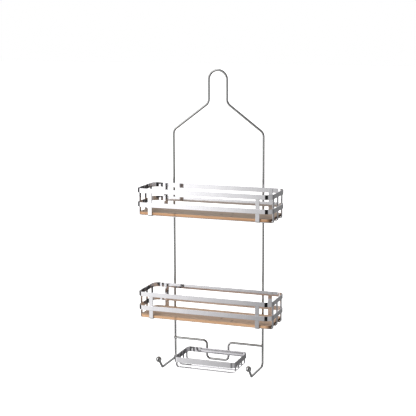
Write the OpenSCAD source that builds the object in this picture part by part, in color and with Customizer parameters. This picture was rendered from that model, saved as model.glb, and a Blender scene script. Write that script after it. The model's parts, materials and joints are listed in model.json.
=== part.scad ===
// Two-basket shower caddy that hangs over a shower arm: one bent wire frame with two
// hooks, two flat-strip baskets with lift-out wooden boards, and a soap dish on a crossbar.
// Origin at the centre of the hanging loop's arc. +X to the right, -Y towards the user, +Z up.

/* [Wire frame] */
// Diameter of the round wire of the frame and the crossbar
wire_d = 5; // [3:0.1:6]
// Radius of the hanging loop, to the middle of the wire
loop_r = 20.5; // [16:0.5:30]
// Height from the loop's centre down to the corners at the foot of the neck
neck_drop = 49; // [40:0.5:70]
// Distance from the middle to each side rod
rod_x = 102; // [85:1:125]
// Height from the loop's centre down to the floor of the hooks
hook_drop = 620; // [610:1:680]
// Bend radius at the neck and the shoulders, to the middle of the wire
neck_bend_r = 16; // [8:1:20]
// Bend radius of the crossbar and of the hooks' heels, to the middle of the wire
tight_bend_r = 9; // [6:0.5:11]

/* [Hooks] */
// How far forward of the rod the ball sits
ball_reach = 97.5; // [90:0.5:105]
// Height of the ball's centre above the hook's floor
ball_rise = 23; // [18:1:35]
// Bend radius where the hook turns up, to the middle of the wire
toe_bend_r = 6.25; // [3.75:0.5:8.25]
// Diameter of the ball on each hook's tip
ball_d = 12.5; // [8:0.5:14]

/* [Baskets] */
// Length of a basket over the rails
basket_w = 302; // [280:1:340]
// Depth of a basket over the rails
basket_d = 95; // [80:1:120]
// Corner radius of a rail, outside
rail_corner_r = 15; // [8:1:20]
// Height of the flat strip of the rails
rail_h = 10; // [6:0.5:12]
// Thickness of all flat strip
strip_t = 1.5; // [1:0.1:2]
// Height from one rail's top edge to the next one's
rail_pitch = 30; // [20:0.5:32]
// Height from the loop's centre down to the upper basket's rim
upper_rim_drop = 225.5; // [200:0.5:240]
// Height from the upper basket's rim to the lower basket's rim
basket_spacing = 225; // [180:0.5:240]
// Width of the straps that cradle the board
strap_w = 9; // [6:0.5:12]
// Distance of the front-to-back straps from the basket's middle
cross_strap_x = 119.5; // [110:0.5:125]
// Distance between the end-to-end straps
long_strap_pitch = 29.5; // [20:0.5:31]
// How far the strap tips stop below the rim
strap_tip_gap = 1; // [0:0.1:3]
// Inside bend radius of the straps
strap_bend_r = 1; // [0.5:0.1:2]

/* [Boards] */
// Height from the rim down to the board's top face
board_depth = 51; // [44:1:60]
// Thickness of the wooden board
board_t = 6; // [4:0.5:8]
// Gap between the board's edge and the straps
board_gap = 1; // [0.5:0.1:3]
// Gap under the board
board_lift = 0.3; // [0.2:0.1:1]

/* [Soap dish] */
// Height from the loop's centre down to the crossbar
crossbar_drop = 573; // [560:1:580]
// Half length of the crossbar
crossbar_half = 103.5; // [103:0.5:110]
// Depth of the dip in the middle of the crossbar
dip_depth = 40.5; // [30:0.5:45]
// Distance of the dip's legs from the middle
dip_x = 25; // [20:1:35]
// Length of the dish over its band
dish_w = 139; // [110:1:150]
// Depth of the dish over its band
dish_d = 87; // [70:1:90]
// Corner radius of the dish's band, outside
dish_corner_r = 9; // [5:1:15]
// Height of the dish's band
dish_band_h = 11.5; // [6:0.5:12]
// Height from the loop's centre down to the band's top edge
dish_drop = 589.5; // [584:0.5:596]
// Depth of the dish, from the band's top edge to its underside
dish_depth = 26; // [16:0.5:28]
// Width of the dish's straps
dish_strap_w = 7; // [4:0.5:9]
// Distance between the dish's straps
dish_strap_pitch = 20; // [16:0.5:24]
// Inside bend radius of the dish's straps
dish_bend_r = 5; // [2:0.5:8]

/* [Hidden] */
$fn = 64;

// Depth to which welded pieces run into each other
weld = 0.2;
wire_r = wire_d / 2;
upper_rim_z = -upper_rim_drop;
lower_rim_z = upper_rim_z - basket_spacing;

// Front-to-back places: the rods stand at y = 0 and everything hangs in front of them
basket_back_y = -(wire_r - weld);
basket_y = basket_back_y - basket_d / 2;
crossbar_y = -(wire_d - weld);
dish_back_y = crossbar_y - wire_r + weld;
dish_y = dish_back_y - dish_d / 2;

// Heights below a basket's rim, down to the underside of each layer
board_bottom = board_depth + board_t;
cross_strap_bottom = board_bottom + board_lift + strip_t;
long_strap_bottom = cross_strap_bottom + strip_t;

// The shoulders fall 3 for every 4 across, so a neck bend cuts half its radius off a corner.
// The hooks' tips rise at three times the angle of a 7 in 24 slope. Both angles have sines
// and cosines that are short decimals, so the pieces of wire meet exactly
slant_angle = atan2(4, 3);
tip_angle = 3 * atan2(7, 24);
diagonal_run = rod_x - loop_r;
diagonal_fall = diagonal_run * 3 / 4;
diagonal_length = norm([diagonal_run, diagonal_fall]);
neck_cut = neck_bend_r / 2;
toe_run = ball_rise / tan(tip_angle);
toe_cut = toe_bend_r * tan(tip_angle / 2);
hook_floor = ball_reach - toe_run;

// Steps of one half of the frame: [straight run, bend radius, bend angle, roll of the bend]
HALF_FRAME = [
    [0, loop_r, 90, 0],
    [neck_drop - neck_cut, neck_bend_r, slant_angle, 180],
    [diagonal_length - 2 * neck_cut, neck_bend_r, slant_angle, 0],
    [hook_drop - neck_drop - diagonal_fall - neck_cut - tight_bend_r, tight_bend_r, 90, -90],
    [hook_floor - tight_bend_r - toe_cut, toe_bend_r, tip_angle, -90],
    [norm([toe_run, ball_rise]) - toe_cut, 0, 0, 0]
];

CROSSBAR = [
    [crossbar_half - dip_x - tight_bend_r, tight_bend_r, 90, 0],
    [dip_depth - 2 * tight_bend_r, tight_bend_r, 90, 180],
    [2 * dip_x - 2 * tight_bend_r, tight_bend_r, 90, 180],
    [dip_depth - 2 * tight_bend_r, tight_bend_r, 90, 0],
    [crossbar_half - dip_x - tight_bend_r, 0, 0, 0]
];

// A wire arc of up to 90 degrees that starts at the origin along +Z and turns towards +X:
// a quarter ring with what lies past the angle cut off square to the wire
module wire_arc(r, angle) {
    reach = r + wire_d;
    translate([r, 0, 0]) rotate([90, 0, 0]) difference() {
        rotate([0, 0, 90]) rotate_extrude(angle = 90) translate([r, 0]) circle(d = wire_d);
        if (angle < 90)
            rotate([0, 0, 180 - angle]) translate([0, -reach, -wire_d]) cube([reach, reach, 2 * wire_d]);
    }
}

// A wire along +Z through the given steps, each bend carrying the rest of the wire round
module wire_path(steps, i = 0) {
    if (i < len(steps)) {
        run = steps[i][0];
        r = steps[i][1];
        angle = steps[i][2];
        roll = steps[i][3];
        if (run > 0) cylinder(h = run, d = wire_d);
        translate([0, 0, run]) rotate([0, 0, roll]) {
            if (angle > 0) wire_arc(r, angle);
            translate([r * (1 - cos(angle)), 0, r * sin(angle)])
                rotate([0, angle, 0]) rotate([0, 0, -roll]) wire_path(steps, i + 1);
        }
    }
}

// A rectangle with four round corners, centred
module rounded_rectangle(w, d, r) {
    square([w - 2 * r, d], center = true);
    square([w, d - 2 * r], center = true);
    for (x = [-1, 1], y = [-1, 1])
        translate([x * (w / 2 - r), y * (d / 2 - r)]) circle(r = r);
}

// A block outline that stands on y = 0 with its two lower corners rounded
module round_bottomed(w, h, r) {
    translate([-w / 2, r]) square([w, h - r]);
    translate([-w / 2 + r, 0]) square([w - 2 * r, h]);
    for (x = [-1, 1]) translate([x * (w / 2 - r), r]) circle(r = r);
}

// Side view of a flat strip bent into a U
module strap_outline(w, h, bend_r) {
    difference() {
        round_bottomed(w, h, bend_r + strip_t);
        translate([0, strip_t]) round_bottomed(w - 2 * strip_t, h, bend_r);
    }
}

// A U strap that runs from end to end, along X
module long_strap(w, h, bend_r, width) {
    rotate([90, 0, 0]) linear_extrude(height = width, center = true) strap_outline(w, h, bend_r);
}

// A U strap that runs from front to back, along Y
module cross_strap(w, h, bend_r, width) {
    rotate([0, 0, 90]) long_strap(w, h, bend_r, width);
}

// A closed loop of flat strip, standing on z = 0
module strip_loop(w, d, r, h) {
    linear_extrude(height = h) difference() {
        rounded_rectangle(w, d, r);
        rounded_rectangle(w - 2 * strip_t, d - 2 * strip_t, r - strip_t);
    }
}

// A basket rail with its top edge the given height below the loop's centre
module rail(top_z) {
    color("silver") translate([0, basket_y, top_z - rail_h])
        strip_loop(basket_w, basket_d, rail_corner_r, rail_h);
}

module basket_cross_strap(rim_z, side) {
    color("silver") translate([side * cross_strap_x, basket_y, rim_z - cross_strap_bottom])
        cross_strap(basket_d - 2 * strip_t, cross_strap_bottom - strap_tip_gap, strap_bend_r, strap_w);
}

module basket_long_strap(rim_z, place) {
    color("silver")
        translate([0, basket_y + place * long_strap_pitch, rim_z - long_strap_bottom])
            long_strap(basket_w - 2 * strip_t, long_strap_bottom - strap_tip_gap, strap_bend_r, strap_w);
}

module board(rim_z) {
    inset = 2 * strip_t + board_gap;
    color("burlywood") translate([0, basket_y, rim_z - board_bottom]) linear_extrude(height = board_t)
        rounded_rectangle(basket_w - 2 * inset, basket_d - 2 * inset, rail_corner_r - inset);
}

module hook_ball(side) {
    color("silver") translate([side * rod_x, -ball_reach, ball_rise - hook_drop]) sphere(d = ball_d);
}

module dish_strap(place) {
    color("silver") translate([0, dish_y + place * dish_strap_pitch, -dish_drop - dish_depth])
        long_strap(dish_w - 2 * strip_t, dish_depth - strap_tip_gap, dish_bend_r, dish_strap_w);
}

module half_frame() {
    translate([0, 0, loop_r]) rotate([0, 90, 0]) wire_path(HALF_FRAME);
}

module main_frame() {
    color("silver") {
        half_frame();
        mirror([1, 0, 0]) half_frame();
    }
}

module hook_ball_left() { hook_ball(-1); }
module hook_ball_right() { hook_ball(1); }

module crossbar() {
    color("silver") translate([-crossbar_half, crossbar_y, -crossbar_drop])
        rotate([0, 90, 0]) wire_path(CROSSBAR);
}

module upper_top_rail() { rail(upper_rim_z); }
module upper_low_rail() { rail(upper_rim_z - rail_pitch); }
module upper_strap_left() { basket_cross_strap(upper_rim_z, -1); }
module upper_strap_right() { basket_cross_strap(upper_rim_z, 1); }
module upper_strap_front() { basket_long_strap(upper_rim_z, -1); }
module upper_strap_middle() { basket_long_strap(upper_rim_z, 0); }
module upper_strap_back() { basket_long_strap(upper_rim_z, 1); }
module upper_board() { board(upper_rim_z); }

module lower_top_rail() { rail(lower_rim_z); }
module lower_low_rail() { rail(lower_rim_z - rail_pitch); }
module lower_strap_left() { basket_cross_strap(lower_rim_z, -1); }
module lower_strap_right() { basket_cross_strap(lower_rim_z, 1); }
module lower_strap_front() { basket_long_strap(lower_rim_z, -1); }
module lower_strap_middle() { basket_long_strap(lower_rim_z, 0); }
module lower_strap_back() { basket_long_strap(lower_rim_z, 1); }
module lower_board() { board(lower_rim_z); }

module dish_band() {
    color("silver") translate([0, dish_y, -dish_drop - dish_band_h])
        strip_loop(dish_w, dish_d, dish_corner_r, dish_band_h);
}

module dish_strap_front() { dish_strap(-1.5); }
module dish_strap_mid_front() { dish_strap(-0.5); }
module dish_strap_mid_back() { dish_strap(0.5); }
module dish_strap_back() { dish_strap(1.5); }

main_frame();
hook_ball_left();
hook_ball_right();
crossbar();
upper_top_rail();
upper_low_rail();
upper_strap_left();
upper_strap_right();
upper_strap_front();
upper_strap_middle();
upper_strap_back();
upper_board();
lower_top_rail();
lower_low_rail();
lower_strap_left();
lower_strap_right();
lower_strap_front();
lower_strap_middle();
lower_strap_back();
lower_board();
dish_band();
dish_strap_front();
dish_strap_mid_front();
dish_strap_mid_back();
dish_strap_back();
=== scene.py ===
import json
import math

import bmesh
import bpy
from mathutils import Matrix, Vector

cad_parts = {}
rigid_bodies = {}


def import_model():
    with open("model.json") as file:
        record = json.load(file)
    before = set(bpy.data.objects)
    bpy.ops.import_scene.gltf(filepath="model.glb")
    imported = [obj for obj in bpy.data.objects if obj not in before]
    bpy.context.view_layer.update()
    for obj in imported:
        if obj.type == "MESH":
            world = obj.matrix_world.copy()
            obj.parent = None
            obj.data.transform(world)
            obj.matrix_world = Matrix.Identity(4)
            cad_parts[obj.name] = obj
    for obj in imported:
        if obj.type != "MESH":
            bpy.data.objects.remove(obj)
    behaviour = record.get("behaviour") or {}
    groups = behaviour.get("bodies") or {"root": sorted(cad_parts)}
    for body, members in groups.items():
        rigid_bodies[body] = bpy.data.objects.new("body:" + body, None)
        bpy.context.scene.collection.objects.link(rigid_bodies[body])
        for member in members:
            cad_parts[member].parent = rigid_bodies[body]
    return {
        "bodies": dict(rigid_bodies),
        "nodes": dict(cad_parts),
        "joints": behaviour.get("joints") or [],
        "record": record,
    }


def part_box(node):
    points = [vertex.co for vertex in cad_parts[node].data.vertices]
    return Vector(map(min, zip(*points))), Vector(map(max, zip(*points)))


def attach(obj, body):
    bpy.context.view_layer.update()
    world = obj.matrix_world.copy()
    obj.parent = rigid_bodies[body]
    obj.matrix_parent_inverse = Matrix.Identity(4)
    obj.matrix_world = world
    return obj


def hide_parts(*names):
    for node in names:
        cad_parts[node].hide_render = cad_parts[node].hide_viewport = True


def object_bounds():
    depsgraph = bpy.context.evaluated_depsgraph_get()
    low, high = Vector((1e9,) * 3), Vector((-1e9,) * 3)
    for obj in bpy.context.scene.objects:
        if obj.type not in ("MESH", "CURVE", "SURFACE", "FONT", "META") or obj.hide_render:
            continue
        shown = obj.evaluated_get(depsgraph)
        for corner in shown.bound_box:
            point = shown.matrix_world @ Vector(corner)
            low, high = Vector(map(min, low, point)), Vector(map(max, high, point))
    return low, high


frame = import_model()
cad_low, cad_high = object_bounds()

# Shower caddy: bent chrome wire, flat-strip baskets, bamboo boards and a soap dish.
# Lengths are in metres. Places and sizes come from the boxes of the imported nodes.

MM = 0.001
FRAME_BODY = "caddy_frame"
CHROME_SLOT = "chrome"
BAMBOO_SLOT = "bamboo"

# Bend radii to the middle of the wire, the neck's length and the dip's half width
NECK_DROP = 49 * MM
DIP_X = 25 * MM
NECK_BEND_R = 16 * MM
TIGHT_BEND_R = 9 * MM
TOE_BEND_R = 6.25 * MM
# The shoulders' turn from upright, and the hook tips' rise from level
SLANT = math.atan2(4, 3)
TIP_SLOPE = 3 * math.atan2(7, 24)

# Flat strip: outside radius of the corners and inside radius of the bent straps
RAIL_CORNER_R = 15 * MM
DISH_CORNER_R = 9 * MM
STRAP_BEND_R = 1 * MM
DISH_BEND_R = 5 * MM
BOARD_CORNER_R = RAIL_CORNER_R - 4 * MM
BOARD_EASE = 1 * MM
STRIP_EDGE_R = 0.35 * MM
RAIL_EDGE_R = 0.4 * MM

# Welds: radii of the beads and seams, how deep a seam's middle lies in the strip, how far each
# stops short of the strip's edges, and half the length of the crossbar's beads at the rods
ROD_WELD_R = 0.8 * MM
STRAP_WELD_R = 0.45 * MM
SEAM_R = 0.5 * MM
SEAM_DEPTH = 0.35 * MM
ROD_WELD_INSET = 2 * MM
STRAP_WELD_INSET = 1.5 * MM
SEAM_INSET = 1 * MM
CROSSBAR_WELD_HALF = 0.7 * MM
# Shares of the wire's radius: how far a rod's welds stand to its sides, and how far the
# crossbar's stand above and below its middle and behind its back
ROD_WELD_SIDE = 0.8
BAR_WELD_UP = 0.7
BAR_WELD_BACK = 0.05

# The crossbar's rounded ends, and the fillet at a ball: how far it spreads over the ball, then
# (how much wider than the wire, place past the ball's edge, tilt of the normal)
WIRE_END_R = 0.8 * MM
FILLET_SPREAD = 0.6 * MM
FILLET = [(-0.05 * MM, 1.8 * MM, 0.1), (0.1 * MM, 1.0 * MM, 0.25), (0.3 * MM, 0.4 * MM, 0.5)]

# Bamboo: width of a glued strip, distance between culm joints, and the wood's tones from dark
# to light, for the flat faces and the edges. The flat faces' tones are greyer and the edges' more
# orange: painted sheen on the flat faces and painted light on the edges. The lower board's are
# paler to match the photo: painted light, for the brighter light on the lower board.
BAMBOO_STRIP_W = 14.5 * MM
JOINT_SPACING = 210 * MM
UPPER_FLAT_PAINTED_SHEEN = [(0.30, (0.36, 0.25, 0.165)), (0.52, (0.47, 0.335, 0.225)), (0.74, (0.56, 0.41, 0.285))]
LOWER_FLAT_PAINTED_LIGHT_AND_SHEEN = [(0.30, (0.54, 0.35, 0.22)), (0.52, (0.71, 0.475, 0.31)), (0.74, (0.82, 0.58, 0.40))]
UPPER_EDGE_PAINTED_LIGHT = [(0.30, (0.44, 0.235, 0.12)), (0.52, (0.57, 0.32, 0.17)), (0.74, (0.66, 0.385, 0.215))]
LOWER_EDGE_PAINTED_LIGHT = [(0.30, (0.58, 0.34, 0.185)), (0.52, (0.72, 0.44, 0.255)), (0.74, (0.80, 0.52, 0.31))]
FIBRE_TONES = [(0.35, (0.76, 0.74, 0.72)), (0.62, (1.0, 1.0, 1.0))]
PORE_TONES = [(0.42, (0.07, 0.038, 0.02)), (0.60, (0.22, 0.125, 0.065))]
BAMBOO_ROUGH = (0.34, 0.52)
BAMBOO_WAVE = 0.2 * MM
GLUE_LINE_WAVE = 0.4 * MM
DARK_STRIP = (0.20, 0.10, 0.05, 1.0)
DARK_JOINT = (0.16, 0.08, 0.04, 1.0)

# Chrome: tints, lowest and highest roughness, and the depth of its unevenness. The wire's tint is
# darker than the strip's to match the photo.
WIRE_TINT = (0.60, 0.60, 0.595)
WIRE_ROUGH = (0.06, 0.14)
STRIP_TINT = (0.90, 0.89, 0.915)
STRIP_ROUGH = (0.02, 0.06)
CHROME_WAVE = 0.4 * MM
WELD_TONES = [(0.3, (0.52, 0.52, 0.53)), (0.7, (0.70, 0.70, 0.71))]
WELD_ROUGH = (0.14, 0.28)
WELD_WAVE = 0.3 * MM

# Noise scales, in waves per metre: the draw lines and clouds in chrome, the lumps of a weld, and
# the fibres, streaks and pores of bamboo
DRAW_LINES = (30, 2600, 1)
CLOUDS = 38.0
LUMPS = 900.0
FIBRES = (14, 1900, 1900)
STREAKS = (5, 260, 260)
PORES = (900, 900, 900)

# How finely round shapes are cut
WIRE_SIDES = 28
BEAD_SIDES = 12
BEAD_RINGS = 12
BALL_RINGS = 24
CORNER_STEPS = 8
ARC_STEP = math.radians(5)
EDGE_STEPS = 4
# How much of a half turn the rings of a bead and of a ball cover, short of a point at the end
BEAD_SPAN = 0.96
BALL_SPAN = 0.995
# How blunt a bead's ends are: 1 is an ellipse, and less is blunter
BEAD_TAPER = 0.6


# ---------------------------------------------------------------- paths and sweeps

def arc_steps(angle):
    """How many short pieces a bend of this angle is cut into."""
    return max(3, math.ceil(abs(angle) / ARC_STEP))


def turtle_path(start, steps):
    """Frames along straight runs and bends. A frame's local Z is the way forward.

    Each step is (run, bend radius, bend angle, roll), and turns towards local X after the roll.
    """
    here = start.copy()
    frames = [here.copy()]
    for run, radius, angle, roll in steps:
        if run > 0:
            here = here @ Matrix.Translation((0, 0, run))
            frames.append(here.copy())
        if angle > 0:
            turned = here @ Matrix.Rotation(roll, 4, "Z")
            count = arc_steps(angle)
            for i in range(1, count + 1):
                a = angle * i / count
                moved = Matrix.Translation((radius * (1 - math.cos(a)), 0, radius * math.sin(a)))
                bent = moved @ Matrix.Rotation(a, 4, "Y")
                frames.append(turned @ bent @ Matrix.Rotation(-roll, 4, "Z"))
            here = frames[-1].copy()
    return frames


def circle_outline(radius, sides=WIRE_SIDES):
    """Points and normals round a circle."""
    turns = [2 * math.pi * i / sides for i in range(sides)]
    normals = [Vector((math.cos(t), math.sin(t))) for t in turns]
    return [(normal * radius, normal) for normal in normals]


def strip_outline(thickness, width, edge_r):
    """Points and normals round a flat strip's section: X is through it, Y across it."""
    outline = []
    for quarter, (sx, sy) in enumerate([(1, 1), (-1, 1), (-1, -1), (1, -1)]):
        centre = Vector((sx * (thickness / 2 - edge_r), sy * (width / 2 - edge_r)))
        for i in range(EDGE_STEPS + 1):
            t = math.pi / 2 * (quarter + i / EDGE_STEPS)
            normal = Vector((math.cos(t), math.sin(t)))
            outline.append((centre + normal * edge_r, normal))
    return outline


def end_rings(outline, round_r, steps=3):
    """Rings that round a section off at its end: (outline, distance past the full section, tilt)."""
    rings = []
    for i in range(1, steps + 1):
        t = math.pi / 2 * i / steps
        inset = round_r * (1 - math.cos(t))
        points = [(p - n * inset, n) for p, n in outline]
        rings.append((points, round_r * math.sin(t), t))
    return rings


class Shell:
    """Rings of points skinned into one mesh, with true normals and a UV along the length."""

    def __init__(self, name):
        self.name = name
        self.verts, self.normals, self.faces, self.uvs = [], [], [], []

    def skin(self, rings, closed=False):
        """Adds one tube. A ring is (frame, outline, tilt of its normals towards local Z)."""
        base = len(self.verts)
        for m, outline, tilt in rings:
            turn = m.to_3x3()
            for p, n in outline:
                self.verts.append(m @ Vector((p.x, p.y, 0)))
                normal = Vector((n.x * math.cos(tilt), n.y * math.cos(tilt), math.sin(tilt)))
                self.normals.append((turn @ normal).normalized())
        sides, count = len(rings[0][1]), len(rings)
        around = self.around(rings[len(rings) // 2][1])
        along = 0.0
        for i in range(count if closed else count - 1):
            j = (i + 1) % count
            far = along + (rings[j][0].translation - rings[i][0].translation).length
            for k in range(sides):
                n = (k + 1) % sides
                near, next_one = around[k], around[k + 1]
                corners = (i * sides + k, i * sides + n, j * sides + n, j * sides + k)
                self.faces.append(tuple(base + c for c in corners))
                self.uvs += [(along, near), (along, next_one), (far, next_one), (far, near)]
            along = far
        if not closed:
            self.cap(base, range(sides - 1, -1, -1), 0.0, around)
            self.cap(base + (count - 1) * sides, range(sides), along, around)

    def around(self, outline):
        """Distances round an outline, back to its first point."""
        places = [0.0]
        for (p, _), (q, _) in zip(outline, outline[1:] + outline[:1]):
            places.append(places[-1] + (q - p).length)
        return places

    def cap(self, base, order, along, around):
        """Closes an end with one flat face."""
        self.faces.append(tuple(base + k for k in order))
        self.uvs += [(along, around[k]) for k in order]

    def build(self):
        mesh = bpy.data.meshes.new(self.name)
        mesh.from_pydata(self.verts, [], self.faces)
        layer = mesh.uv_layers.new(name="length")
        for loop, uv in zip(layer.data, self.uvs):
            loop.uv = uv
        for polygon in mesh.polygons:
            polygon.use_smooth = True
        mesh.update()
        mesh.normals_split_custom_set_from_vertices(self.normals)
        return new_object(self.name, mesh)


def sweep(name, frames, outline, closed=False, end_r=0.0):
    """A mesh that carries the outline along the frames, with its two ends rounded."""
    rings = [(m, outline, 0.0) for m in frames]
    if not closed and end_r > 0:
        rings[0] = (frames[0] @ Matrix.Translation((0, 0, end_r)), outline, 0.0)
        rings[-1] = (frames[-1] @ Matrix.Translation((0, 0, -end_r)), outline, 0.0)
        head, tail = [], []
        for points, forward, tilt in end_rings(outline, end_r):
            head.append((frames[0] @ Matrix.Translation((0, 0, end_r - forward)), points, -tilt))
            tail.append((frames[-1] @ Matrix.Translation((0, 0, forward - end_r)), points, tilt))
        rings = head[::-1] + rings + tail
    shell = Shell(name)
    shell.skin(rings, closed)
    return shell.build()


def turned(name, frame, profile, sides):
    """A solid turned about local Z. A profile point is (radius, place along Z, tilt of the normal)."""
    rings = []
    for radius, along, tilt in profile:
        rings.append((frame @ Matrix.Translation((0, 0, along)), circle_outline(radius, sides), tilt))
    shell = Shell(name)
    shell.skin(rings)
    return shell.build()


def beads(name, lines, radius, lump=0.10):
    """Weld beads along short lines, each swelling in the middle and slightly lumpy."""
    shell = Shell(name)
    for number, (start, end) in enumerate(lines):
        start, end = Vector(start), Vector(end)
        way = end - start
        half = way.length / 2 + radius
        frame = frame_at((start + end) / 2, way, way.orthogonal())
        rings = []
        for i in range(BEAD_RINGS + 1):
            t = math.pi * (i / BEAD_RINGS - 0.5) * BEAD_SPAN
            swell = 1 + lump * math.sin(7.0 * t + 1.7 * number)
            flank = math.cos(t) ** BEAD_TAPER
            outline = circle_outline(radius * flank * swell, BEAD_SIDES)
            tilt = math.atan2(math.sin(t) * radius, math.cos(t) * half)
            rings.append((frame @ Matrix.Translation((0, 0, half * math.sin(t))), outline, tilt))
        shell.skin(rings)
    return shell.build()


def new_object(name, mesh):
    piece = bpy.data.objects.new(name, mesh)
    bpy.context.scene.collection.objects.link(piece)
    return piece


def frame_at(origin, forward, across):
    """A frame at the origin with local Z forward and local Y across."""
    z = Vector(forward).normalized()
    y = Vector(across).normalized()
    x = y.cross(z)
    return Matrix.Translation(origin) @ Matrix((x, y, z)).transposed().to_4x4()


def finish_piece(piece, material, body, slot, *nodes):
    """Gives a piece its material and its CAD body, and hides the CAD nodes that it stands for. The slot
    is not used.
    """
    piece.data.materials.append(material)
    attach(piece, body)
    if nodes:
        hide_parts(*nodes)
    return piece


# ---------------------------------------------------------------- materials

class Nodes:
    """Short calls for building one node tree."""

    def __init__(self, tree):
        self.tree = tree
        self.shader = tree.nodes.get("Principled BSDF")

    def add(self, kind, **settings):
        node = self.tree.nodes.new(kind)
        for key, value in settings.items():
            setattr(node, key, value)
        return node

    def feed(self, socket, value):
        """Links an output into a socket, or sets the socket to a number or colour."""
        if isinstance(value, bpy.types.NodeSocket):
            self.tree.links.new(value, socket)
        else:
            socket.default_value = value

    def set(self, **values):
        for key, value in values.items():
            self.feed(self.shader.inputs[key.replace("_", " ")], value)

    def noise(self, vector, scale, detail=3.0, roughness=0.5):
        node = self.add("ShaderNodeTexNoise")
        node.inputs["Scale"].default_value = scale
        node.inputs["Detail"].default_value = detail
        node.inputs["Roughness"].default_value = roughness
        self.feed(node.inputs["Vector"], vector)
        return node.outputs["Fac"]

    def ramp(self, fac, stops):
        node = self.add("ShaderNodeValToRGB")
        elements = node.color_ramp.elements
        while len(elements) < len(stops):
            elements.new(0.5)
        for element, (place, colour) in zip(elements, stops):
            element.position = place
            element.color = (*colour, 1.0)
        self.feed(node.inputs["Fac"], fac)
        return node.outputs["Color"]

    def spread(self, fac, low, high, start=0.0, end=1.0):
        """Maps start..end to low..high."""
        node = self.add("ShaderNodeMapRange")
        sockets = ("Value", "From Min", "From Max", "To Min", "To Max")
        for socket, value in zip(sockets, (fac, start, end, low, high)):
            self.feed(node.inputs[socket], value)
        return node.outputs["Result"]

    def scaled(self, vector, scale):
        node = self.add("ShaderNodeMapping")
        node.inputs["Scale"].default_value = scale
        self.feed(node.inputs["Vector"], vector)
        return node.outputs["Vector"]

    def split(self, vector):
        node = self.add("ShaderNodeSeparateXYZ")
        self.feed(node.inputs["Vector"], vector)
        return [node.outputs[axis] for axis in "XYZ"]

    def math(self, operation, *values):
        node = self.add("ShaderNodeMath", operation=operation)
        for socket, value in zip(node.inputs, values):
            self.feed(socket, value)
        return node.outputs["Value"]

    def mix(self, fac, a, b, blend="MIX"):
        node = self.add("ShaderNodeMix", data_type="RGBA", blend_type=blend)
        for socket, value in ((node.inputs["Factor"], fac), (node.inputs[6], a), (node.inputs[7], b)):
            self.feed(socket, value)
        return node.outputs[2]

    def bump(self, height, strength, distance):
        node = self.add("ShaderNodeBump")
        node.inputs["Strength"].default_value = strength
        node.inputs["Distance"].default_value = distance
        self.feed(node.inputs["Height"], height)
        self.feed(self.shader.inputs["Normal"], node.outputs["Normal"])


def new_material(name):
    material = bpy.data.materials.new(name)
    material.use_nodes = True
    return material, Nodes(material.node_tree)


def chrome(name, tint, rough):
    """Bright chrome plate with faint draw lines along the length and a soft unevenness."""
    material, n = new_material(name)
    place = n.add("ShaderNodeTexCoord")
    lines = n.noise(n.scaled(place.outputs["UV"], DRAW_LINES), 1.0, 4)
    cloud = n.noise(place.outputs["Object"], CLOUDS, 4, 0.6)
    colour = n.ramp(cloud, [(0.30, tuple(0.94 * c for c in tint)), (0.62, tint)])
    both = n.math("ADD", n.math("MULTIPLY", lines, 0.45), n.math("MULTIPLY", cloud, 0.55))
    n.set(Metallic=1.0, Base_Color=colour, Roughness=n.spread(both, *rough, 0.3, 0.7))
    n.bump(n.math("ADD", n.math("MULTIPLY", lines, 0.15), cloud), 0.12, CHROME_WAVE)
    return material


def weld_metal():
    """Plated weld metal: the same chrome, a little duller and lumpier."""
    material, n = new_material("chrome_weld")
    lumps = n.noise(n.add("ShaderNodeTexCoord").outputs["Object"], LUMPS, 3, 0.6)
    colour = n.ramp(lumps, WELD_TONES)
    n.set(Metallic=1.0, Base_Color=colour, Roughness=n.spread(lumps, *WELD_ROUGH))
    n.bump(lumps, 0.35, WELD_WAVE)
    return material


def bamboo_strips(n, x, y, z):
    """Tone of each glued strip, and the place inside the wood shifted by it so that strips differ."""
    wave = n.math("MULTIPLY", n.math("SINE", n.math("MULTIPLY", x, 9.0)), GLUE_LINE_WAVE)
    strip = n.math("FLOOR", n.math("DIVIDE", n.math("ADD", y, wave), BAMBOO_STRIP_W))
    tone = n.add("ShaderNodeTexWhiteNoise", noise_dimensions="1D")
    n.feed(tone.inputs["W"], strip)
    tone = tone.outputs["Value"]
    shifted = n.add("ShaderNodeCombineXYZ")
    n.feed(shifted.inputs["X"], n.math("ADD", x, n.math("MULTIPLY", tone, 3.0)))
    n.feed(shifted.inputs["Y"], y)
    n.feed(shifted.inputs["Z"], z)
    return tone, shifted.outputs["Vector"]


def bamboo_joints(n, x, tone):
    """1 on the narrow bands where a strip crosses a joint of the culm, else 0."""
    moved = n.math("ADD", x, n.math("MULTIPLY", tone, 0.9))
    place = n.math("FRACT", n.math("DIVIDE", moved, JOINT_SPACING))
    gap = n.math("ABSOLUTE", n.math("SUBTRACT", place, 0.5))
    return n.spread(gap, 1.0, 0.0, 0.004, 0.016)


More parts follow.
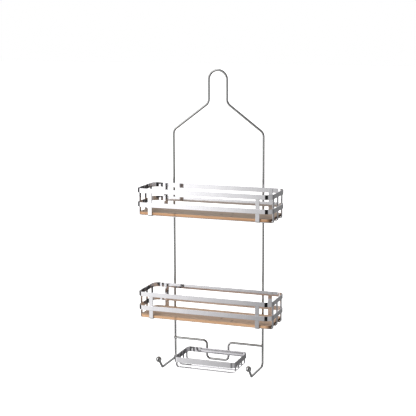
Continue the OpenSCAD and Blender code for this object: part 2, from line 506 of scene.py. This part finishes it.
def bamboo(name, painted_sheen_flat_tones, painted_light_edge_tones):
    """Laminated bamboo under a thin lacquer: glued strips, long fibres, culm joints and end grain, with
    painted light on the edges and painted sheen on the flat faces.
    """
    material, n = new_material(name)
    place = n.add("ShaderNodeTexCoord").outputs["Object"]
    x, y, z = n.split(place)
    tone, along = bamboo_strips(n, x, y, z)
    fibre = n.noise(n.scaled(along, FIBRES), 1.0, 4, 0.6)
    streak = n.noise(n.scaled(along, STREAKS), 1.0, 3, 0.55)
    joint = bamboo_joints(n, x, tone)
    normal_x, _, normal_z = n.split(n.add("ShaderNodeNewGeometry").outputs["Normal"])

    # Painted light and sheen: by the way a face points, the edges take more orange tones and the flat
    # faces greyer ones.
    flat = n.ramp(streak, painted_sheen_flat_tones)
    edge = n.ramp(streak, painted_light_edge_tones)
    painted_light_and_sheen_mask = n.math("POWER", n.math("ABSOLUTE", normal_z), 2.0)
    base = n.mix(painted_light_and_sheen_mask, edge, flat)
    toned = n.mix(n.spread(tone, 0.0, 0.5), base, n.mix(0.55, base, DARK_STRIP))
    fine = n.ramp(fibre, FIBRE_TONES)
    grained = n.mix(0.8, toned, fine, "MULTIPLY")
    knotted = n.mix(n.math("MULTIPLY", joint, 0.6), grained, DARK_JOINT)
    pores = n.noise(n.scaled(place, PORES), 1.0, 2, 0.7)
    pored = n.ramp(pores, PORE_TONES)
    end_face = n.math("POWER", n.math("ABSOLUTE", normal_x), 3.0)
    colour = n.mix(end_face, knotted, pored)

    rough = n.spread(streak, *BAMBOO_ROUGH)
    n.set(Base_Color=colour, Roughness=rough, Coat_Weight=0.2, Coat_Roughness=0.25)
    n.bump(n.math("ADD", fibre, n.math("MULTIPLY", joint, 2.0)), 0.25, BAMBOO_WAVE)
    return material


# ---------------------------------------------------------------- sizes from the frame

def size_of(node):
    low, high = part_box(node)
    return high - low


WIRE_D = size_of("crossbar").y
WIRE_R = WIRE_D / 2
STRIP_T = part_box("upper_strap_left")[0].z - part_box("upper_strap_front")[0].z


# ---------------------------------------------------------------- wire pieces

def half_frame_steps():
    """The runs and bends of half the main frame, from the top of the hanging loop to a hook's tip."""
    low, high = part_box("main_frame")
    ball_low, ball_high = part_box("hook_ball_right")
    ball = (ball_low + ball_high) / 2
    loop_r = high.z - WIRE_R
    rod_x = high.x - WIRE_R
    floor = -(low.z + WIRE_R)
    run = rod_x - loop_r
    diagonal = run / math.sin(SLANT)
    fall = run / math.tan(SLANT)
    cut = NECK_BEND_R * math.tan(SLANT / 2)
    toe_cut = TOE_BEND_R * math.tan(TIP_SLOPE / 2)
    rise = ball.z + floor
    reach = -ball.y - rise / math.tan(TIP_SLOPE)
    right = math.pi / 2
    return loop_r, [
        (0, loop_r, right, 0),
        (NECK_DROP - cut, NECK_BEND_R, SLANT, math.pi),
        (diagonal - 2 * cut, NECK_BEND_R, SLANT, 0),
        (floor - NECK_DROP - fall - cut - TIGHT_BEND_R, TIGHT_BEND_R, right, -right),
        (reach - TIGHT_BEND_R - toe_cut, TOE_BEND_R, TIP_SLOPE, -right),
        (rise / math.sin(TIP_SLOPE) - toe_cut, 0, 0, 0),
    ]


def main_frame(material):
    """The frame's single wire, from one hook's tip over the loop to the other's."""
    loop_r, steps = half_frame_steps()
    start = Matrix.Translation((0, 0, loop_r)) @ Matrix.Rotation(math.pi / 2, 4, "Y")
    right_half = turtle_path(start, steps)
    mirror = Matrix.Scale(-1, 4, (1, 0, 0))
    turn_back = Matrix.Scale(-1, 4, (0, 0, 1))
    left_half = [mirror @ m @ turn_back for m in reversed(right_half[1:])]
    piece = sweep("frame_wire", left_half + right_half, circle_outline(WIRE_R))
    return finish_piece(piece, material, FRAME_BODY, CHROME_SLOT, "main_frame")


def crossbar(material):
    """The crossbar with its dip, between the two rods."""
    low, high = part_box("crossbar")
    straight = high.x - DIP_X - TIGHT_BEND_R
    drop = size_of("crossbar").z - WIRE_D - 2 * TIGHT_BEND_R
    right = math.pi / 2
    steps = [
        (straight, TIGHT_BEND_R, right, 0),
        (drop, TIGHT_BEND_R, right, math.pi),
        (2 * DIP_X - 2 * TIGHT_BEND_R, TIGHT_BEND_R, right, math.pi),
        (drop, TIGHT_BEND_R, right, 0),
        (straight, 0, 0, 0),
    ]
    end = Vector((low.x, (low.y + high.y) / 2, high.z - WIRE_R))
    start = Matrix.Translation(end) @ Matrix.Rotation(right, 4, "Y")
    piece = sweep("crossbar_wire", turtle_path(start, steps), circle_outline(WIRE_R), end_r=WIRE_END_R)
    return finish_piece(piece, material, FRAME_BODY, CHROME_SLOT, "crossbar")


def hook_ball(side, material):
    """A turned ball with a short plated fillet where it is welded to the hook's tip."""
    node = f"hook_ball_{side}"
    low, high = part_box(node)
    centre, radius = (low + high) / 2, (high - low).z / 2
    neck = math.asin((WIRE_R + FILLET_SPREAD) / radius)
    edge = radius * math.cos(neck)
    fillet = [(WIRE_R + wider, edge + past, tilt) for wider, past, tilt in FILLET]
    ball = []
    for i in range(BALL_RINGS + 1):
        a = neck + (math.pi * BALL_SPAN - neck) * i / BALL_RINGS
        ball.append((radius * math.sin(a), radius * math.cos(a), math.pi / 2 - a))
    profile = (fillet + ball)[::-1]
    towards_wire = Vector((0, math.cos(TIP_SLOPE), -math.sin(TIP_SLOPE)))
    frame = frame_at(centre, towards_wire, Vector((1, 0, 0)))
    piece = turned(f"{node}_turned", frame, profile, WIRE_SIDES)
    return finish_piece(piece, material, FRAME_BODY, CHROME_SLOT, node)


# ---------------------------------------------------------------- flat-strip pieces

def loop_frames(low, high, corner_r):
    """Frames round a closed strip loop seen from above, at mid thickness and mid height.

    Local X points out of the loop, local Y up and local Z along the strip.
    """
    inset = STRIP_T / 2
    z = (low.z + high.z) / 2
    r = corner_r - inset
    corners = [
        (high.x - corner_r, high.y - corner_r, 0),
        (low.x + corner_r, high.y - corner_r, 1),
        (low.x + corner_r, low.y + corner_r, 2),
        (high.x - corner_r, low.y + corner_r, 3),
    ]
    frames = []
    for cx, cy, quarter in corners:
        count = arc_steps(math.pi / 2)
        for i in range(count + 1):
            t = math.pi / 2 * (quarter + i / count)
            out = Vector((math.cos(t), math.sin(t), 0))
            forward = Vector((-math.sin(t), math.cos(t), 0))
            origin = Vector((cx, cy, z)) + out * r
            m = Matrix((out, Vector((0, 0, 1)), -forward)).transposed().to_4x4()
            frames.append(Matrix.Translation(origin) @ m)
    return frames[::-1]


def strip_loop(node, corner_r, material):
    """A rail or band: one flat strip bent round and closed, with rounded edges."""
    low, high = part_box(node)
    outline = strip_outline(STRIP_T, high.z - low.z, RAIL_EDGE_R)
    piece = sweep(f"{node}_strip", loop_frames(low, high, corner_r), outline, closed=True)
    return finish_piece(piece, material, FRAME_BODY, CHROME_SLOT, node)


def strap(node, bend_r, material):
    """A U strap, from one tip down, along the underside and up to the other tip."""
    low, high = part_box(node)
    size = high - low
    along_x = size.x > size.y
    width = size.y if along_x else size.x
    length = size.x if along_x else size.y
    r = bend_r + STRIP_T / 2
    half = (length - STRIP_T) / 2
    right = math.pi / 2
    middle = (low + high) / 2
    across = Vector((0, 1, 0)) if along_x else Vector((1, 0, 0))
    side = Vector((1, 0, 0)) if along_x else Vector((0, 1, 0))
    tip = Vector((middle.x, middle.y, high.z)) - side * half
    start = frame_at(tip, (0, 0, -1), across)
    inward = 0 if (start.to_3x3() @ Vector((1, 0, 0))).dot(side) > 0 else math.pi
    steps = [
        (size.z - STRIP_T / 2 - r, r, right, inward),
        (2 * half - 2 * r, r, right, inward),
        (size.z - STRIP_T / 2 - r, 0, 0, 0),
    ]
    outline = strip_outline(STRIP_T, width, STRIP_EDGE_R)
    piece = sweep(f"{node}_bent", turtle_path(start, steps), outline, end_r=STRIP_EDGE_R)
    return finish_piece(piece, material, FRAME_BODY, CHROME_SLOT, node)


# ---------------------------------------------------------------- boards

def quarter_steps(count):
    """Angles from 0 to a right angle."""
    return [math.pi / 2 * i / count for i in range(count + 1)]


def corner_ring(low, high, radius, inset):
    """Points round a rectangle with round corners, drawn in by the inset, seen from above."""
    points = []
    corners = [(high.x, high.y), (low.x, high.y), (low.x, low.y), (high.x, low.y)]
    for quarter, (x, y) in enumerate(corners):
        centre_x = x - math.copysign(radius, x - (low.x + high.x) / 2)
        centre_y = y - math.copysign(radius, y - (low.y + high.y) / 2)
        for a in quarter_steps(CORNER_STEPS):
            t = math.pi / 2 * quarter + a
            out = Vector((math.cos(t), math.sin(t))) * (radius - inset)
            points.append((centre_x + out.x, centre_y + out.y))
    return points


def board(node, body, material):
    """A bamboo board with rounded corners and eased edges."""
    low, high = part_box(node)
    profile = []
    for a in quarter_steps(EDGE_STEPS):
        profile.append((BOARD_EASE * (1 - math.sin(a)), low.z + BOARD_EASE * (1 - math.cos(a))))
    for a in quarter_steps(EDGE_STEPS):
        profile.append((BOARD_EASE * (1 - math.cos(a)), high.z - BOARD_EASE * (1 - math.sin(a))))
    bm = bmesh.new()
    rings = []
    for inset, z in profile:
        ring = corner_ring(low, high, BOARD_CORNER_R, inset)
        rings.append([bm.verts.new((x, y, z)) for x, y in ring])
    for a, b in zip(rings, rings[1:]):
        for i in range(len(a)):
            n = (i + 1) % len(a)
            bm.faces.new((a[i], a[n], b[n], b[i]))
    bm.faces.new(rings[0][::-1])
    bm.faces.new(rings[-1])
    for face in bm.faces:
        face.smooth = True
    mesh = bpy.data.meshes.new(f"{node}_bamboo")
    bm.to_mesh(mesh)
    bm.free()
    piece = new_object(f"{node}_bamboo", mesh)
    piece.modifiers.new("flat_faces", "WEIGHTED_NORMAL").keep_sharp = True
    return finish_piece(piece, material, body, BAMBOO_SLOT, node)


# ---------------------------------------------------------------- welds

def beside_wire(x, wire_y, face_y, low_z, high_z):
    """The two upright lines in the corners between an upright wire and the flat face before it."""
    reach = ROD_WELD_SIDE * WIRE_R
    y = (wire_y - math.sqrt(WIRE_R ** 2 - reach ** 2) + face_y) / 2
    return [((x + side * reach, y, low_z), (x + side * reach, y, high_z)) for side in (-1, 1)]


def rod_welds(basket, material):
    """Welds between the two rods and a basket's rails."""
    rod_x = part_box("main_frame")[1].x - WIRE_R
    lines = []
    for rail in ("top_rail", "low_rail"):
        low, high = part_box(f"{basket}_{rail}")
        for side in (-1, 1):
            ends = (low.z + ROD_WELD_INSET, high.z - ROD_WELD_INSET)
            lines += beside_wire(side * rod_x, 0.0, high.y, *ends)
    piece = beads(f"{basket}_rod_welds", lines, ROD_WELD_R)
    return finish_piece(piece, material, FRAME_BODY, CHROME_SLOT)


def crossbar_welds(material):
    """Welds between the crossbar and the rods, and between the dip's legs and the dish's band."""
    low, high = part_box("crossbar")
    band_low, band_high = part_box("dish_band")
    ends = (band_low.z + ROD_WELD_INSET, band_high.z - ROD_WELD_INSET)
    rod_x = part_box("main_frame")[1].x - WIRE_R
    bar_z = high.z - WIRE_R
    lines = []
    for side in (-1, 1):
        for up in (-1, 1):
            z = bar_z + up * BAR_WELD_UP * WIRE_R
            y = high.y + BAR_WELD_BACK * WIRE_R
            x = side * rod_x
            lines.append(((x - CROSSBAR_WELD_HALF, y, z), (x + CROSSBAR_WELD_HALF, y, z)))
        lines += beside_wire(side * DIP_X, (low.y + high.y) / 2, band_high.y, *ends)
    piece = beads("crossbar_welds", lines, ROD_WELD_R)
    return finish_piece(piece, material, FRAME_BODY, CHROME_SLOT)


def strap_welds(basket, material):
    """Small welds down both edges of each strap, inside the rails."""
    lines = []
    for rail in ("top_rail", "low_rail"):
        low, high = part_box(f"{basket}_{rail}")
        for place in ("left", "right", "front", "middle", "back"):
            strap_low, strap_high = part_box(f"{basket}_strap_{place}")
            bottom = low.z + STRAP_WELD_INSET
            top = min(high.z, strap_high.z) - STRAP_WELD_INSET
            for end in (-1, 1):
                for edge in (-1, 1):
                    lines.append(strap_edge(strap_low, strap_high, end, edge, bottom, top))
    piece = beads(f"{basket}_strap_welds", lines, STRAP_WELD_R)
    return finish_piece(piece, material, FRAME_BODY, CHROME_SLOT)


def strap_edge(low, high, end, edge, bottom, top):
    """The upright line where one edge of a strap's arm meets the rail outside it."""
    middle, half = (low + high) / 2, (high - low) / 2
    if half.x > half.y:
        x, y = middle.x + end * half.x, middle.y + edge * half.y
    else:
        x, y = middle.x + edge * half.x, middle.y + end * half.y
    return (x, y, bottom), (x, y, top)


def seam(node, material):
    """The butt weld that closes a rail or band, dressed down to a low ridge at the middle of its back."""
    low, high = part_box(node)
    y = high.y - SEAM_DEPTH
    line = ((0, y, low.z + SEAM_INSET), (0, y, high.z - SEAM_INSET))
    piece = beads(f"{node}_seam", [line], SEAM_R, lump=0.03)
    return finish_piece(piece, material, FRAME_BODY, CHROME_SLOT)


# ---------------------------------------------------------------- studio

# The surroundings' light, set so that the chrome mirrors the photo's light and dark areas from
# the photo's side. First by bearing, in degrees from the front towards the right: a broad soft
# panel to the left, a dimmer one to the right with a narrow strip near the back, a faint light
# in the gap between them, and one behind. From straight in front the strips mirror the gap at
# eye level, and look nearly black.
PANEL_ROUND = [(-180, 0.0), (-78, 0.0), (-70, 1.5), (-24, 1.5), (-18, 0.68), (-16.5, 0.5), (-14, 0.0)]
SIDE_ROUND = [(-180, 0.03), (-120, 0.03), (-85, 0.05), (-70, 0.0), (31, 0.0), (36, 0.43), (95, 0.43),
              (112, 0.28), (137, 0.17), (150, 0.05), (157.5, 0.02), (161, 0.13), (164, 0.25),
              (168, 0.08), (176, 0.02)]
GAP_ROUND = [(-17.5, 0.0), (-15, 0.22), (31, 0.22), (36, 0.0)]
BACK_ROUND = [(-180, 1.0), (-150, 1.0), (-135, 0.0), (135, 0.0), (150, 1.0), (180, 1.0)]
# How much of each there is at a height, in degrees above the horizon. The gap's faint light is
# only below eye level, and the light behind is one band below it and one above.
PANEL_HEIGHT = [(-50, 0.05), (-32, 0.1), (-26, 0.55), (-17, 0.6), (-14.5, 0.66), (-9.5, 1.0),
                (50, 1.0), (66, 0.05)]
SIDE_HEIGHT = [(-45, 0.2), (-30, 0.8), (-20, 1.0), (5, 1.0), (20, 0.2), (60, 0.1)]
GAP_HEIGHT = [(-30, 0.3), (-24, 1.0), (-17.2, 1.0), (-16.6, 0.0)]
BACK_HEIGHT = [(-32, 0.0), (-27, 0.3), (-21, 0.25), (-18, 0.0), (-2, 0.0), (4, 0.42), (30, 0.42),
               (42, 0.0)]
LIGHTS = [
    (PANEL_ROUND, PANEL_HEIGHT),
    (SIDE_ROUND, SIDE_HEIGHT),
    (GAP_ROUND, GAP_HEIGHT),
    (BACK_ROUND, BACK_HEIGHT),
]
# What is the same all round: nearly dark at eye level, dim above and below it, and paler
# straight up and straight down
ALL_ROUND_HEIGHT = [(-84, 0.4), (-72, 0.12), (-48, 0.10), (-36, 0.14), (-24, 0.05), (-18, 0.01),
                    (18, 0.02), (28, 0.16), (60, 0.18), (82, 0.35)]

# Lamps: name, place and aim from the caddy's middle, size and power
LAMPS = [
    ("overhead", (-0.4, -1.1, 1.9), (0.0, 0.0, 0.0), 1.6, 16),
    ("key", (-0.85, -0.8, 0.4), (0.0, 0.0, 0.0), 0.4, 9.5),
    ("low_fill", (-0.35, -0.7, 0.06), (-0.1, 0.0, -0.2), 0.3, 1.2),
    ("bounce", (0.0, -0.6, -1.5), (0.0, 0.0, 0.0), 2.0, 10),
]

# The floor: half its width, how far it lies below the caddy, and its glow
FLOOR_REACH = 40.0
FLOOR_DROP = 1.4
FLOOR_GLOW = 1.2

# The camera fitted to the photo: its lens and sensor in millimetres, and its turn, downward tip
# and roll in degrees
CAMERA_LENS = 99.16
CAMERA_SENSOR = 36.0
CAMERA_PLACE = (0.8259, -2.2939, 0.1494)
CAMERA_TURN = 20.3175
CAMERA_DOWN = 9.892
CAMERA_ROLL = -0.217


def light_curve(n, degrees, stops, reach):
    """Brightness by angle, straight between stops, from -reach to reach."""
    top = max(light for _, light in stops)
    share = n.spread(degrees, 0.0, 1.0, -reach, reach)
    places = [((angle + reach) / (2 * reach), (light / top,) * 3) for angle, light in stops]
    grey = n.ramp(share, places)
    return n.math("MULTIPLY", grey, top)


def studio_world():
    """Soft surroundings for the chrome to reflect. The camera itself sees a plain white backdrop."""
    world = bpy.data.worlds.new("studio")
    bpy.context.scene.world = world
    world.use_nodes = True
    world.node_tree.nodes.clear()
    n = Nodes(world.node_tree)
    x, y, z = n.split(n.add("ShaderNodeTexCoord").outputs["Generated"])
    bearing = n.math("DEGREES", n.math("ARCTAN2", x, n.math("MULTIPLY", y, -1.0)))
    height = n.math("DEGREES", n.math("ARCSINE", z))
    level = light_curve(n, height, ALL_ROUND_HEIGHT, 90)
    for round_stops, height_stops in LIGHTS:
        by_bearing = light_curve(n, bearing, round_stops, 180)
        by_height = light_curve(n, height, height_stops, 90)
        level = n.math("ADD", level, n.math("MULTIPLY", by_bearing, by_height))

    surroundings = n.add("ShaderNodeBackground")
    n.feed(surroundings.inputs["Strength"], level)
    backdrop = n.add("ShaderNodeBackground")
    seen = n.add("ShaderNodeMixShader")
    n.feed(seen.inputs["Fac"], n.add("ShaderNodeLightPath").outputs["Is Camera Ray"])
    n.feed(seen.inputs[1], surroundings.outputs["Background"])
    n.feed(seen.inputs[2], backdrop.outputs["Background"])
    n.feed(n.add("ShaderNodeOutputWorld").inputs["Surface"], seen.outputs["Shader"])
    for shade in (surroundings, backdrop):
        shade.inputs["Color"].default_value = (1, 1, 1, 1)


def floor():
    """A plain pale floor, well below the hooks, with a glow that keeps it near white.

    It isn't mirrored and casts no light on the caddy.
    """
    z = cad_low.z - FLOOR_DROP
    reach = FLOOR_REACH
    mesh = bpy.data.meshes.new("floor")
    corners = [(-reach, -reach, z), (reach, -reach, z), (reach, reach, z), (-reach, reach, z)]
    mesh.from_pydata(corners, [], [(0, 1, 2, 3)])
    piece = new_object("floor", mesh)
    material, n = new_material("pale_floor")
    n.set(Base_Color=(0.9, 0.9, 0.9, 1), Roughness=0.9)
    n.set(Emission_Color=(1, 1, 1, 1), Emission_Strength=FLOOR_GLOW)
    mesh.materials.append(material)
    piece.visible_glossy = False
    piece.visible_diffuse = False


def soft_light(name, place, target, size, power):
    """A square lamp that lights the wood but shows in no reflection."""
    light = bpy.data.lights.new(name, "AREA")
    light.shape = "SQUARE"
    light.size = size
    light.energy = power
    lamp = bpy.data.objects.new(name, light)
    lamp.location = place
    lamp.rotation_euler = (Vector(target) - Vector(place)).to_track_quat("-Z", "Y").to_euler()
    lamp.visible_glossy = False
    lamp.visible_camera = False
    bpy.context.scene.collection.objects.link(lamp)


def camera():
    """The camera: in front, to the right and slightly above, with a long lens."""
    data = bpy.data.cameras.new("camera")
    data.sensor_width = CAMERA_SENSOR
    data.lens = CAMERA_LENS
    piece = bpy.data.objects.new("camera", data)
    turn = Matrix.Rotation(math.radians(CAMERA_TURN), 4, "Z")
    tip = Matrix.Rotation(math.radians(90 - CAMERA_DOWN), 4, "X")
    roll = Matrix.Rotation(math.radians(CAMERA_ROLL), 4, "Z")
    piece.matrix_world = Matrix.Translation(CAMERA_PLACE) @ turn @ tip @ roll
    bpy.context.scene.collection.objects.link(piece)
    bpy.context.scene.camera = piece


# ---------------------------------------------------------------- the whole caddy

camera()
studio_world()
floor()
middle = (cad_low + cad_high) / 2
for lamp_name, place, aim, size, power in LAMPS:
    soft_light(lamp_name, middle + Vector(place), middle + Vector(aim), size, power)
bpy.context.scene.view_settings.view_transform = "Standard"

wire_chrome = chrome("chrome_wire", WIRE_TINT, WIRE_ROUGH)
strip_chrome = chrome("chrome_strip", STRIP_TINT, STRIP_ROUGH)
weld_chrome = weld_metal()
wood = {
    "upper": bamboo("bamboo_upper", UPPER_FLAT_PAINTED_SHEEN, UPPER_EDGE_PAINTED_LIGHT),
    # The lower board's wood is a lit copy of the upper's, with paler tones: painted light.
    "lower": bamboo("bamboo_lower_painted_light", LOWER_FLAT_PAINTED_LIGHT_AND_SHEEN, LOWER_EDGE_PAINTED_LIGHT),
}

main_frame(wire_chrome)
crossbar(wire_chrome)
crossbar_welds(weld_chrome)
for side in ("left", "right"):
    hook_ball(side, wire_chrome)
for basket in ("upper", "lower"):
    for rail in ("top_rail", "low_rail"):
        strip_loop(f"{basket}_{rail}", RAIL_CORNER_R, strip_chrome)
        seam(f"{basket}_{rail}", weld_chrome)
    for place in ("left", "right", "front", "middle", "back"):
        strap(f"{basket}_strap_{place}", STRAP_BEND_R, strip_chrome)
    rod_welds(basket, weld_chrome)
    strap_welds(basket, weld_chrome)
    board(f"{basket}_board", f"{basket}_shelf_board", wood[basket])
strip_loop("dish_band", DISH_CORNER_R, strip_chrome)
seam("dish_band", weld_chrome)
for place in ("front", "mid_front", "mid_back", "back"):
    strap(f"dish_strap_{place}", DISH_BEND_R, strip_chrome)
